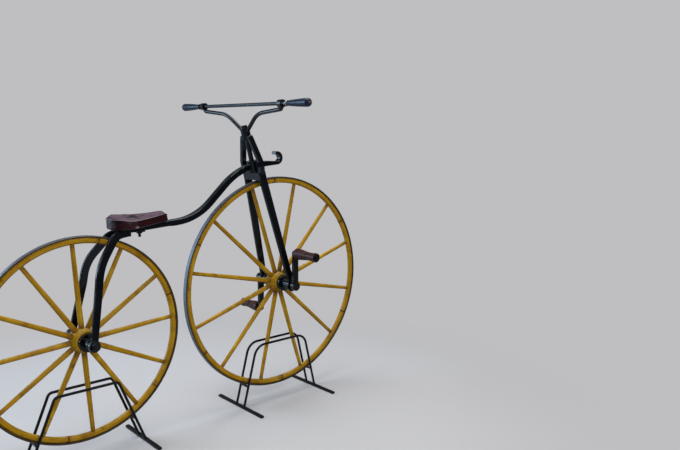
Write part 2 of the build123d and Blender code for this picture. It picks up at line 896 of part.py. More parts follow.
def build_stand(prefix, hub, tyre_radius, foot_half, base, top, height, bend):
    """Make the stand that holds one wheel off the floor."""
    for side, name in ((-1, "right"), (1, "left")):
        with BuildPart() as hoop:
            with BuildLine(Plane.XZ.offset(-side * hoop_spacing / 2)) as rod:
                FilletPolyline(
                    (hub.X - base, 0),
                    (hub.X - top, height),
                    (hub.X + top, height),
                    (hub.X + base, 0),
                    radius=bend,
                )
            with BuildSketch(Plane(origin=rod.line @ 0, z_dir=rod.line % 0)):
                Circle(rod_radius)
            sweep(path=rod.line)
            split(bisect_by=Plane.XY.offset(foot_height), keep=Keep.TOP)
        keep(hoop, f"{prefix}_stand_hoop_{name}")

    with BuildPart() as feet:
        with Locations((hub.X - base, 0, foot_height / 2), (hub.X + base, 0, foot_height / 2)):
            Box(foot_width, 2 * foot_half, foot_height)
    keep(feet, prefix + "_stand_feet")

    reach = tyre_radius + stand_gap + rod_radius
    level = cradle_height(hub.Z, reach, base, top, height)
    place = base - level * (base - top) / height
    bar_half = hoop_spacing / 2 - rod_radius - seat_gap
    with BuildPart() as cradle:
        for end in (-1, 1):
            with BuildSketch(Plane(
                origin=(hub.X + end * place, -bar_half, level), z_dir=(0, 1, 0)
            )):
                Circle(rod_radius)
            extrude(amount=2 * bar_half)
    keep(cradle, prefix + "_stand_cradle")


build_stand(
    "front", front_hub, front_tyre_radius, front_foot_half,
    front_hoop_base, front_hoop_top, front_hoop_height, front_hoop_bend,
)
build_stand(
    "rear", rear_hub, rear_tyre_radius, rear_foot_half,
    rear_hoop_base, rear_hoop_top, rear_hoop_height, rear_hoop_bend,
)
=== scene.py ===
import bpy
import math
from mathutils import Matrix, Vector


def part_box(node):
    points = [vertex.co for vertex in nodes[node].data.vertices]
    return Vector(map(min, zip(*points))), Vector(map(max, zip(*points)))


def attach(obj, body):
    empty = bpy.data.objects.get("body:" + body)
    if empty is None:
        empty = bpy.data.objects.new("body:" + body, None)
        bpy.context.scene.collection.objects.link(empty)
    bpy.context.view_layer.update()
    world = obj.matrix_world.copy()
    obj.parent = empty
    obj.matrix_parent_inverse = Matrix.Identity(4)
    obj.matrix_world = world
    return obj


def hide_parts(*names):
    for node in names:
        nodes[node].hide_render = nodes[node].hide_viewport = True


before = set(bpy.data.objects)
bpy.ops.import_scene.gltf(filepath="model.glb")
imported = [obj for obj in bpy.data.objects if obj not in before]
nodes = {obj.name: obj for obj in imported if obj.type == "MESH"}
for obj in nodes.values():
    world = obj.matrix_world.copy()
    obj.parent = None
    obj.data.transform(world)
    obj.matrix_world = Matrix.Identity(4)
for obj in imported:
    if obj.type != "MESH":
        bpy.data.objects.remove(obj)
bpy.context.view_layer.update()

# The camera stands at the photograph's viewing angle: behind the machine's right side, at about
# chest height, looking slightly down at both wheels.
camera_data = bpy.data.cameras.new("camera")
camera_data.sensor_width = 36.0
camera_data.lens = 35.06
camera = bpy.data.objects.new("camera", camera_data)
bpy.context.scene.collection.objects.link(camera)
camera_spot = Vector((-1.36823722, -2.24166827, 1.14484346))
camera_right = Vector((0.72699742, -0.68647656, 0.01498935))
camera_up = Vector((0.07943897, 0.10577135, 0.99121232))
camera_back = Vector((-0.68202947, -0.71941807, 0.13142849))
camera_turn = Matrix((camera_right, camera_up, camera_back)).transposed().to_4x4()
camera.matrix_world = Matrix.Translation(camera_spot) @ camera_turn
bpy.context.scene.camera = camera


# Painted ash wheels: bent felloes, tapered spokes and a turned nave under old ochre paint that has
# browned with dirt and rubbed thin, with the brush strokes along each stick. Dirt lies in the
# joints of the felloes and where the spokes enter the nave and the felloes. The upper faces are
# painted paler as a highlight, partly dust, and the lower faces red-brown as shade, partly dirt.
class Signal:
    """One output in a node tree, which can be used in sums and makes the nodes that follow it."""

    def __init__(self, tree, output=None):
        self.tree = tree
        self.output = output

    def node(self, kind, settings=None, inputs=None, output=0):
        """Add a node, first its settings, then the values or links of its sockets."""
        made = self.tree.nodes.new("ShaderNode" + kind)
        for name, value in (settings or {}).items():
            setattr(made, name, value)
        for name, value in (inputs or {}).items():
            if isinstance(value, Signal):
                self.tree.links.new(value.output, made.inputs[name])
            else:
                made.inputs[name].default_value = value
        return Signal(self.tree, made.outputs[output])

    def maths(self, operation, first, second=0.0):
        """One step of arithmetic on numbers."""
        return self.node("Math", {"operation": operation}, {0: first, 1: second})

    def __add__(self, other):
        return self.maths("ADD", self, other)

    __radd__ = __add__

    def __sub__(self, other):
        return self.maths("SUBTRACT", self, other)

    def __rsub__(self, other):
        return self.maths("SUBTRACT", other, self)

    def __mul__(self, other):
        return self.maths("MULTIPLY", self, other)

    __rmul__ = __mul__

    def __truediv__(self, other):
        return self.maths("DIVIDE", self, other)

    def __pow__(self, other):
        return self.maths("POWER", self, other)

    def held(self, low, high):
        """The signal stretched from low to high onto 0 to 1, smoothly, and held there."""
        settings = {"interpolation_type": "SMOOTHSTEP"}
        return self.node("MapRange", settings, {0: self, 1: low, 2: high})

    def tint(self, first, second):
        """A colour between two others, mixed by this signal."""
        settings = {"data_type": "RGBA", "clamp_factor": True}
        return self.node("Mix", settings, {0: self, 6: first, 7: second}, 2)

    def noise(self, scale, detail=4.0, roughness=0.55, distortion=0.0):
        """Noise at this place."""
        return self.node("TexNoise", None, {
            "Vector": self, "Scale": scale, "Detail": detail,
            "Roughness": roughness, "Distortion": distortion,
        })

    def stretched(self, x, y, z):
        """This place, stretched along the axes."""
        return self.node("Mapping", None, {"Vector": self, "Scale": (x, y, z)})

    def part(self, axis):
        """The part of this place or direction along one axis: 0, 1 or 2 for x, y or z."""
        return self.node("SeparateXYZ", None, {0: self}, axis)

    def bump(self, distance, strength=1.0):
        """The surface normal with this height on it, in metres."""
        return self.node("Bump", None, {
            "Height": self, "Distance": distance, "Strength": strength,
        })


def new_material(name, **steady):
    """A material with its steady values set, its shader, and the place on the surface."""
    material = bpy.data.materials.new(name)
    material.use_nodes = True
    shader = material.node_tree.nodes["Principled BSDF"]
    for socket, value in steady.items():
        shader.inputs[socket.replace("_", " ")].default_value = value
    place = Signal(material.node_tree).node("TexCoord", None, None, "Object")
    return material, shader, place


def lay(shader, **signals):
    """Link signals to the shader's sockets."""
    for socket, signal in signals.items():
        shader.id_data.links.new(signal.output, shader.inputs[socket.replace("_", " ")])


def cover(material, *names):
    """Give CAD nodes this material."""
    for name in names:
        mesh = nodes[name].data
        mesh.materials.clear()
        mesh.materials.append(material)


ochre = (0.36, 0.2, 0.004, 1.0)
ochre_pale = (0.52, 0.32, 0.012, 1.0)
ochre_deep = (0.23, 0.11, 0.003, 1.0)
dirt_brown = (0.035, 0.013, 0.005, 1.0)
# Red-brown for stains and painted shade below; cream for chips and painted highlight on top.
stain_and_shade_red = (0.085, 0.022, 0.006, 1.0)
cream_wear_and_highlight = (0.6, 0.45, 0.17, 1.0)
strokes_across = 60.0
joint_step = math.radians(60.0)
joint_stain = 0.04
joint_line = (0.0035, 0.007)
nave_dirt = 0.03
felloe_dirt = 0.04


def painted_wood(name, hub, around, out, seed, joint_place=None, ends=None):
    """Ochre paint whose strokes run round the hub or out from it, by the two stretches given."""
    material, shader, place = new_material(
        name, Coat_Weight=0.05, Coat_Roughness=0.15, Specular_IOR_Level=0.1
    )
    centred = place.node("VectorMath", {"operation": "SUBTRACT"}, {0: place, 1: hub})
    x, y, z = centred.part(0), centred.part(1), centred.part(2)
    upward = place.node("TexCoord", None, None, "Normal").part(2)
    angle = place.maths("ARCTAN2", z, x)
    radius = (x * x + z * z) ** 0.5
    strokes_place = place.node(
        "CombineXYZ", None, {0: angle * around, 1: radius * out, 2: y * strokes_across + seed}
    )
    strokes = strokes_place.noise(1.0, 5.0, 0.6)
    specks = place.noise(170.0, 2.0, 0.6)
    colour = strokes.held(0.27, 0.62).tint(ochre_deep, ochre)
    colour = (place.noise(9.0, 3.0, 0.6, 0.4).held(0.5, 0.72) * 0.6).tint(colour, ochre_pale)
    # Upper faces painted paler as a highlight, partly dust; lower faces red-brown as shade, partly
    # dirt.
    colour = (upward.held(0.5, 1.0) * strokes.held(0.3, 0.6) * 0.4).tint(colour, cream_wear_and_highlight)
    colour = ((0 - upward).held(0.2, 0.9) * (0.25 + 0.5 * strokes)).tint(colour, stain_and_shade_red)
    stains = place.noise(6.0, 5.0, 0.65, 0.8).held(0.53, 0.7) * strokes.held(0.3, 0.62)
    if joint_place is not None:
        turns = (angle - joint_place) / joint_step
        from_joint = place.maths("ABSOLUTE", turns - place.maths("ROUND", turns))
        near_joint = (1 - from_joint.held(0.0, joint_stain)) * specks.held(0.35, 0.62)
        stains = place.maths("MAXIMUM", stains, near_joint)
    colour = (stains * 0.6).tint(colour, stain_and_shade_red)
    if ends is not None:
        near_nave = 1 - radius.held(ends[0], ends[0] + nave_dirt)
        near_felloe = radius.held(ends[1] - felloe_dirt, ends[1])
        near_ends = place.maths("MAXIMUM", near_nave, near_felloe)
        colour = (near_ends * (0.3 + 0.6 * specks.held(0.3, 0.7))).tint(colour, stain_and_shade_red)
    if joint_place is not None:
        colour = (1 - from_joint.held(*joint_line)).tint(colour, dirt_brown)
    grime = place.noise(21.0, 6.0, 0.7, 0.5).held(0.55, 0.72) * 0.7
    colour = grime.tint(colour, dirt_brown)
    chips = (specks * 0.6 + place.noise(38.0, 3.0, 0.7) * 0.4).held(0.66, 0.71)
    colour = (chips * 0.8).tint(colour, cream_wear_and_highlight)
    lay(shader, Base_Color=colour, Roughness=0.34 + 0.3 * strokes + 0.2 * chips)
    height = strokes * 0.6 + specks * 0.15 - chips * 0.5 - grime * 0.3
    lay(shader, Normal=height.bump(0.0007, 0.6))
    return material


front_hub = (0.3855, 0.0, 0.517)
rear_hub = (-0.4745, 0.0, 0.428)
front_joint = math.radians(32.9)
rear_joint = math.radians(19.2)
rim_depth = 0.0245
for wheel, hub, seed, joint in (
    ("front", front_hub, 0.0, front_joint), ("rear", rear_hub, 7.0, rear_joint),
):
    nave_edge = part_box(wheel + "_nave")[1][0] - hub[0]
    felloe_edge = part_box(wheel + "_tyre")[1][0] - hub[0] - rim_depth
    felloe_paint = painted_wood(
        wheel + "_felloe_paint", hub, around=9.0, out=260.0, seed=seed, joint_place=joint
    )
    spoke_paint = painted_wood(
        wheel + "_spoke_paint", hub, around=70.0, out=9.0, seed=seed + 3.0,
        ends=(nave_edge, felloe_edge),
    )
    nave_paint = painted_wood(wheel + "_nave_paint", hub, around=5.0, out=90.0, seed=seed + 5.0)
    cover(felloe_paint, wheel + "_felloes")
    cover(spoke_paint, wheel + "_spokes")
    cover(nave_paint, wheel + "_nave")

# Iron tyres, rolled flat and shrunk on: dark brown scale on the sides, and a tread that the road
# has polished to a bluish grey, with pits and a few rusty scrapes.
scale_dark = (0.014, 0.008, 0.004, 1.0)
scale_light = (0.045, 0.026, 0.014, 1.0)
road_dark = (0.085, 0.105, 0.125, 1.0)
road_light = (0.15, 0.18, 0.21, 1.0)
tyre_rust = (0.085, 0.036, 0.014, 1.0)
for wheel, hub in (("front", front_hub), ("rear", rear_hub)):
    material, shader, place = new_material(wheel + "_tyre_iron")
    facing = place.node("TexCoord", None, None, "Normal")
    centred = place.node("VectorMath", {"operation": "SUBTRACT"}, {0: place, 1: hub})
    flat = place.node("VectorMath", {"operation": "MULTIPLY"}, {0: centred, 1: (1.0, 0.0, 1.0)})
    outward = place.node("VectorMath", {"operation": "NORMALIZE"}, {0: flat})
    tread = place.node("VectorMath", {"operation": "DOT_PRODUCT"}, {0: facing, 1: outward}, 1)
    blotches = place.noise(14.0, 6.0, 0.65)
    pits = place.noise(420.0, 3.0, 0.7)
    scuff = place.stretched(60.0, 500.0, 60.0).noise(1.0, 3.0)
    polished = tread.held(0.6, 0.9) * (0.6 + 0.4 * blotches.held(0.3, 0.6))
    scale_brown = pits.held(0.3, 0.7).tint(scale_dark, scale_light)
    road_grey = scuff.held(0.3, 0.7).tint(road_dark, road_light)
    colour = polished.tint(scale_brown, road_grey)
    rust = place.noise(33.0, 5.0, 0.7).held(0.6, 0.7) * 0.45
    colour = rust.tint(colour, tyre_rust)
    lay(
        shader, Base_Color=colour, Metallic=0.1 + 0.75 * polished,
        Roughness=0.36 + 0.2 * blotches + 0.15 * scuff,
    )
    lay(shader, Normal=(pits * 0.35 + scuff * 0.2 + blotches).bump(0.0005, 0.35))
    cover(material, wheel + "_tyre")

# Forged iron frame, fork, handlebar, cranks, axles, pins and nave bands under old black gloss
# paint, with the hammer's marks showing through, dust where it can lie and brown where the paint
# has gone. The bluish-grey dust on the upper faces is also a painted highlight.
paint_deep = (0.001, 0.0012, 0.0018, 1.0)
paint_thin = (0.003, 0.0036, 0.0052, 1.0)
# Bluish-grey for dust that also serves as a painted highlight on upper faces.
dust_and_highlight_grey = (0.055, 0.07, 0.08, 1.0)
bare_brown = (0.035, 0.016, 0.008, 1.0)
material, shader, place = new_material(
    "black_iron", Coat_Weight=0.24, Coat_Roughness=0.05, Specular_IOR_Level=0.13,
    Specular_Tint=(0.6, 0.8, 1.0, 1.0),
)
upward = place.node("TexCoord", None, None, "Normal").part(2)
hammered = place.noise(48.0, 3.0, 0.5)
fine = place.noise(500.0, 2.0, 0.6)
clouds = place.noise(11.0, 5.0, 0.6)
# Upper faces painted bluish-grey: dust, and also a painted highlight.
dust_and_highlight = upward.held(0.55, 1.0) * (0.15 + 0.5 * clouds.held(0.4, 0.7))
colour = clouds.held(0.3, 0.7).tint(paint_deep, paint_thin)
colour = (dust_and_highlight * 0.9).tint(colour, dust_and_highlight_grey)
rust = place.noise(42.0, 6.0, 0.72).held(0.63, 0.71) * 0.6
colour = rust.tint(colour, bare_brown)
lay(shader, Base_Color=colour, Roughness=0.16 + 0.16 * clouds + 0.2 * dust_and_highlight + 0.2 * rust)
lay(shader, Normal=(hammered + 0.12 * fine - 0.3 * rust).bump(0.0014, 0.3))
cover(
    material, "backbone", "rear_arm_right", "rear_arm_left", "saddle_plate", "saddle_clamp",
    "steering_head", "fork_blade_right", "fork_blade_left", "handlebar", "grip_ferrules",
    "front_nave_bands", "rear_nave_bands", "crank_right", "crank_left", "saddle_bolt",
    "pedal_pin_right", "pedal_pin_left", "front_axle", "rear_axle", "rear_axle_nuts",
)

# Turned iron that was left bright and has gone dark: the steering pin with its nut, and the bar
# between the grips, which twists in the handlebar's lugs. The lathe's fine rings still show.
iron_deep = (0.004, 0.007, 0.0105, 1.0)
iron_grey = (0.017, 0.027, 0.038, 1.0)
iron_rust = (0.05, 0.03, 0.018, 1.0)
material, shader, place = new_material("dark_bright_iron", Metallic=0.45, Specular_IOR_Level=0.3)
clouds = place.noise(24.0, 5.0, 0.65)
turning = place.stretched(120.0, 900.0, 120.0).noise(1.0, 2.0)
colour = clouds.held(0.35, 0.7).tint(iron_deep, iron_grey)
colour = (place.noise(70.0, 5.0, 0.7).held(0.58, 0.7) * 0.5).tint(colour, iron_rust)
lay(shader, Base_Color=colour, Roughness=0.22 + 0.25 * clouds)
lay(shader, Normal=(turning * 0.5 + clouds * 0.5).bump(0.0004, 0.5))
cover(material, "steering_pin", "head_nut", "twist_bar")

# Bronze bushes, pressed into the eyes at the fork's ends for the front axle to run in. They are
# turned, and dull with old oil.
bronze_dark = (0.14, 0.085, 0.03, 1.0)
bronze_light = (0.4, 0.26, 0.1, 1.0)
material, shader, place = new_material("oiled_bronze", Metallic=0.9)
clouds = place.noise(60.0, 5.0, 0.65)
colour = clouds.held(0.35, 0.7).tint(bronze_dark, bronze_light)
lay(shader, Base_Color=colour, Roughness=0.3 + 0.3 * clouds)
lay(shader, Normal=place.stretched(200.0, 1500.0, 200.0).noise(1.0).bump(0.0002, 0.5))
cover(material, "fork_bushes")

# Handlebar grips of turned wood, stained blue-black and polished by hands. Each is held on the
# end of the twist bar by a thin rod through its middle.
grip_stain = (0.002, 0.005, 0.013, 1.0)
grip_blue = (0.007, 0.016, 0.037, 1.0)
grip_worn = (0.03, 0.022, 0.02, 1.0)
material, shader, place = new_material(
    "black_grip_wood", Coat_Weight=0.12, Coat_Roughness=0.1, Specular_IOR_Level=0.16,
    Specular_Tint=(0.5, 0.76, 1.0, 1.0),
)
grain = place.stretched(220.0, 14.0, 220.0).noise(1.0, 5.0, 0.6, 0.6)
wear = place.noise(30.0, 4.0, 0.6)
colour = grain.held(0.3, 0.7).tint(grip_stain, grip_blue)
colour = (wear.held(0.62, 0.74) * 0.4).tint(colour, grip_worn)
lay(shader, Base_Color=colour, Roughness=0.24 + 0.25 * grain)
lay(shader, Normal=grain.bump(0.0005, 0.5))
cover(material, "grip_right", "grip_left")

# Grip rings of turned nickel, a little tarnished. One closes each grip where it meets the
# ferrule, and is held between the two.
bar_spot = Vector((0.19171, 0.0, 1.26635))
ring_from_middle = 0.3009
ring_radius = 0.0106
ring_width = 0.0046
ring_round = 0.0018
nickel_bright = (0.55, 0.53, 0.48, 1.0)
nickel_dull = (0.2, 0.17, 0.12, 1.0)
ring_metal, shader, place = new_material("ring_nickel", Metallic=1.0)
tarnish = place.noise(150.0, 4.0, 0.6)
lay(shader, Base_Color=tarnish.held(0.4, 0.7).tint(nickel_bright, nickel_dull))
lay(shader, Roughness=0.18 + 0.3 * tarnish, Normal=tarnish.bump(0.0002, 0.4))
bpy.ops.object.select_all(action="DESELECT")
bpy.ops.mesh.primitive_cylinder_add(
    vertices=48, radius=ring_radius, depth=ring_width, rotation=(math.pi / 2.0, 0.0, 0.0),
    location=bar_spot - Vector((0.0, ring_from_middle, 0.0)),
)
right_ring = bpy.context.object
right_ring.name = "grip_ring_right"
bpy.ops.object.transform_apply(location=True, rotation=True, scale=True)
soft_edge = right_ring.modifiers.new("soft_edge", "BEVEL")
soft_edge.width = ring_round
soft_edge.segments = 4
bpy.ops.object.modifier_apply(modifier="soft_edge")
bpy.ops.object.shade_smooth_by_angle(angle=math.radians(40.0))
right_ring.data.materials.append(ring_metal)


def left_copy(piece, name, apart):
    """A copy of a right-hand piece with a mesh of its own, this far to the left."""
    copied = piece.copy()
    copied.data = piece.data.copy()
    copied.name = name
    copied.data.transform(Matrix.Translation((0.0, apart, 0.0)))
    bpy.context.scene.collection.objects.link(copied)
    return copied


left_ring = left_copy(right_ring, "grip_ring_left", 2.0 * ring_from_middle)
for ring in (right_ring, left_ring):
    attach(ring, "steering")

# Grip rivets of iron, gone rusty: the rod that holds each grip is hammered over at its end, and
# shows as a small low dome in the grip's round end.
rivet_radius = 0.0048
rivet_flatness = 0.35
rivet_sunk = 0.0004
rust_dark = (0.05, 0.02, 0.012, 1.0)
rust_light = (0.16, 0.1, 0.075, 1.0)
rivet_metal, shader, place = new_material("rivet_rust", Metallic=0.5)
rusty = place.noise(260.0, 5.0, 0.7)
lay(shader, Base_Color=rusty.held(0.35, 0.65).tint(rust_dark, rust_light))
lay(shader, Roughness=0.3 + 0.4 * rusty, Normal=rusty.bump(0.0003, 0.6))


def low_dome(name, radius, spot, flatness):
    """A ball pressed flat, with its flatness along each axis."""
    bpy.ops.object.select_all(action="DESELECT")
    bpy.ops.mesh.primitive_uv_sphere_add(segments=32, ring_count=16, radius=radius, location=spot)
    dome = bpy.context.object
    dome.name = name
    bpy.ops.object.mode_set(mode="EDIT")
    bpy.ops.mesh.select_all(action="SELECT")
    bpy.ops.transform.resize(value=flatness, center_override=spot)
    bpy.ops.object.mode_set(mode="OBJECT")
    bpy.ops.object.transform_apply(location=True, rotation=True, scale=True)
    bpy.ops.object.shade_smooth()
    return dome


right_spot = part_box("grip_right")[0][1] + rivet_sunk
left_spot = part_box("grip_left")[1][1] - rivet_sunk
rivet_spot = Vector((bar_spot.x, right_spot, bar_spot.z))
right_rivet = low_dome("grip_rivet_right", rivet_radius, rivet_spot, (1.0, rivet_flatness, 1.0))
right_rivet.data.materials.append(rivet_metal)
left_rivet = left_copy(right_rivet, "grip_rivet_left", left_spot - right_spot)
for rivet in (right_rivet, left_rivet):
    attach(rivet, "steering")

# Pedals of turned hardwood that spin on the cranks' iron pins. They are a dark reddish brown,
# with lighter worn patches.
pedal_dark = (0.009, 0.0025, 0.002, 1.0)
pedal_red = (0.05, 0.014, 0.01, 1.0)
pedal_worn = (0.09, 0.034, 0.03, 1.0)
material, shader, place = new_material(
    "pedal_wood", Coat_Weight=0.08, Coat_Roughness=0.12, Specular_IOR_Level=0.14
)
grain = place.stretched(260.0, 12.0, 260.0).noise(1.0, 6.0, 0.65, 0.8)
wear = place.noise(34.0, 4.0, 0.6)
colour = grain.held(0.3, 0.7).tint(pedal_dark, pedal_red)
colour = (wear.held(0.5, 0.75) * 0.6).tint(colour, pedal_worn)
lay(shader, Base_Color=colour, Roughness=0.3 + 0.3 * grain)
lay(shader, Normal=grain.bump(0.0006, 0.6))
cover(material, "pedal_right", "pedal_left")

# Display stands: two hoops of bent round rod for each wheel, welded to flat feet and tied by the
# cradle's bars. They are painted satin black, and a little chipped.
satin_deep = (0.002, 0.002, 0.0025, 1.0)
satin_light = (0.007, 0.007, 0.0085, 1.0)
stand_chip = (0.06, 0.055, 0.05, 1.0)
material, shader, place = new_material("stand_paint", Specular_IOR_Level=0.15)
clouds = place.noise(26.0, 5.0, 0.6)
fine = place.noise(700.0, 2.0, 0.5)
colour = clouds.held(0.35, 0.7).tint(satin_deep, satin_light)
colour = (place.noise(90.0, 5.0, 0.7).held(0.64, 0.72) * 0.5).tint(colour, stand_chip)
lay(shader, Base_Color=colour, Roughness=0.36 + 0.2 * clouds)
lay(shader, Normal=(fine * 0.3 + clouds).bump(0.0004, 0.4))
cover(
    material, "front_stand_hoop_right", "front_stand_hoop_left", "front_stand_feet",
    "front_stand_cradle", "rear_stand_hoop_right", "rear_stand_hoop_left", "rear_stand_feet",
    "rear_stand_cradle",
)

# Saddle: a teardrop pad of stuffed oxblood leather, boxed at the sides, on its iron plate. One
# button draws the top down into creases, and long use has hollowed the middle, most of all on
# the right, so that the rear, the left and the nose stand higher.
saddle_slope = math.radians(4.6)
saddle_middle = Vector((-0.2307, 0.0, 0.80587))
saddle_place = Matrix.Translation(saddle_middle) @ Matrix.Rotation(-saddle_slope, 4, "Y")
pad_bottom = 0.0124
rim_height = 0.0394
pad_top = 0.0484
pad_shrink = (0.985, 0.975, 1.0)
mesh_step = 0.004

pad = nodes["saddle"].copy()
pad.data = nodes["saddle"].data.copy()
pad.name = "saddle_pad"
pad.parent = None
bpy.context.scene.collection.objects.link(pad)
bpy.ops.object.select_all(action="DESELECT")
pad.select_set(True)
bpy.context.view_layer.objects.active = pad
pad.data.transform(saddle_place.inverted())
bpy.ops.object.mode_set(mode="EDIT")
bpy.ops.mesh.select_all(action="SELECT")
bpy.ops.mesh.remove_doubles(threshold=0.00002)
bpy.ops.mesh.normals_make_consistent(inside=False)
bpy.ops.transform.resize(value=pad_shrink, center_override=(0.0, 0.0, pad_bottom))
bpy.ops.object.mode_set(mode="OBJECT")
remesh = pad.modifiers.new("even_mesh", "REMESH")
remesh.mode = "VOXEL"
remesh.voxel_size = mesh_step
bpy.ops.object.modifier_apply(modifier="even_mesh")
swell_steps = 20
swell_limit = 0.005
tacked_foot = 0.003
tacked_seam = 0.0025
tacked = pad.vertex_groups.new(name="tacked")
near_rim = [
    vertex.index for vertex in pad.data.vertices
    if vertex.co.z < pad_bottom + tacked_foot
    or abs(vertex.co.z - rim_height) < tacked_seam and vertex.normal.z < 0.75
]
tacked.add(near_rim, 1.0, "REPLACE")
before = [vertex.co.copy() for vertex in pad.data.vertices]
swell = pad.modifiers.new("swell", "CLOTH")
swell.settings.quality = 6
swell.settings.mass = 0.3
swell.settings.use_pressure = True
swell.settings.uniform_pressure_force = 4.0
swell.settings.effector_weights.gravity = 0.0
swell.settings.vertex_group_mass = "tacked"
for step in range(1, swell_steps + 1):
    bpy.context.scene.frame_set(step)
bpy.ops.object.modifier_apply(modifier="swell")
bpy.context.scene.frame_set(1)
for vertex, start_place in zip(pad.data.vertices, before):
    moved = vertex.co - start_place
    if moved.length > swell_limit:
        vertex.co = start_place + moved * (swell_limit / moved.length)
pad.vertex_groups.clear()
fullness = pad.modifiers.new("smooth_leather", "SUBSURF")
fullness.levels = 1
fullness.render_levels = 1
bpy.ops.object.modifier_apply(modifier="smooth_leather")


def eased(low, high, value):
    """A smooth step from 0 to 1 as the value goes from low to high."""
    share = min(max((value - low) / (high - low), 0.0), 1.0)
    return share * share * (3.0 - 2.0 * share)


def hill(distance, reach):
    """A round hill: 1 at no distance, and nearly 0 at twice its reach."""
    return math.exp(-((distance / reach) ** 2))


rear_rise = 0.0095
rear_slope = (0.068, 0.13)
nose_rise = 0.0025
nose_slope = (0.015, 0.07)
tip_drop = 0.0065
tip_slope = (0.0695, 0.0915)


def settled(spot):
    """Where a point of the pad comes to lie: rear and nose stand up and the tip hangs."""
    height = min(max((spot.z - pad_bottom) / (rim_height - pad_bottom), 0.0), 1.2)
    rise = rear_rise * eased(*rear_slope, -spot.x) + nose_rise * eased(*nose_slope, spot.x)
    rise -= tip_drop * eased(*tip_slope, spot.x)
    return Vector((spot.x, spot.y, spot.z + rise * height))


# The top's start and the ends of the wall and the foot are shares of the pad's height. Places,
# depths and reaches are in metres.
top_from = 0.6
wall_to = 0.72
foot_to = 0.4
crown_place = Vector((-0.088, 0.02, 0.0))
crown_fill = 0.0045
crown_reach = 0.042
hollow_place = Vector((-0.032, -0.022, 0.0))
hollow_depth = 0.0066
hollow_reach = 0.045
left_fill = 0.003
left_slope = (0.0, 0.045)
button_place = Vector((-0.043, 0.0, 0.0))
button_pull = 0.005
pull_reach = 0.014
creases = 5.0
first_crease = 0.6
crease_depth = 0.0035
crease_middle = 0.024
crease_reach = 0.018
wall_fill = 0.0008
wall_folds = 23.0
fold_drift = 4.0
fold_depth = 0.0006
foot_spread = 0.0022
for vertex in pad.data.vertices:
    spot = vertex.co
    height = (spot.z - pad_bottom) / (pad_top - pad_bottom)
    if height > top_from:
        fill = hill((spot.xy - crown_place.xy).length, crown_reach)
        spot.z += crown_fill * fill * eased(top_from, 1.0, height)
        hollow = hill((spot.xy - hollow_place.xy).length, hollow_reach)
        lean = eased(*left_slope, spot.y)
        spot.z += (left_fill * lean - hollow_depth * hollow) * eased(wall_to, 1.0, height)
        reach = (spot - button_place).xy
        turn = creases * math.atan2(reach.y, reach.x) + first_crease
        spread = hill(reach.length - crease_middle, crease_reach)
        crease = (0.5 + 0.5 * math.cos(turn)) ** 2 * spread
        spot.z -= button_pull * hill(reach.length, pull_reach) + crease_depth * crease
    else:
        wall = math.sin(math.pi * min(max(height / wall_to, 0.0), 1.0))
        around = math.atan2(spot.y, spot.x)
        fold = math.sin(wall_folds * around + fold_drift * math.sin(3.0 * around)) * fold_depth
        outward = Vector((spot.x, spot.y, 0.0)).normalized()
        foot = 1.0 - eased(0.0, foot_to, height)
        spot += outward * (wall * (wall_fill + fold) + foot_spread * foot)
    vertex.co = settled(spot)
pad.data.transform(saddle_place)
bpy.ops.object.shade_smooth()
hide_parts("saddle")
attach(pad, "frame")

dimple_height = 0.0425
button_spot = saddle_place @ (button_place + Vector((0.0, 0.0, dimple_height)))
# Reaches of the painted shade round the button and along the creases, in metres.
button_shade = (0.013, 0.026)
crease_end = (0.026, 0.052)
scuff_spot = (-0.2945, -0.0705, 0.8165)
scuff_size = (0.0145, 0.0095)
scuff_ragged = 0.012
# Near-black painted shade for the button's dimple and its creases.
crease_shade_dark = (0.005, 0.0015, 0.0015, 1.0)
scuff_pink = (0.3, 0.19, 0.16, 1.0)
scratch_tan = (0.13, 0.075, 0.06, 1.0)


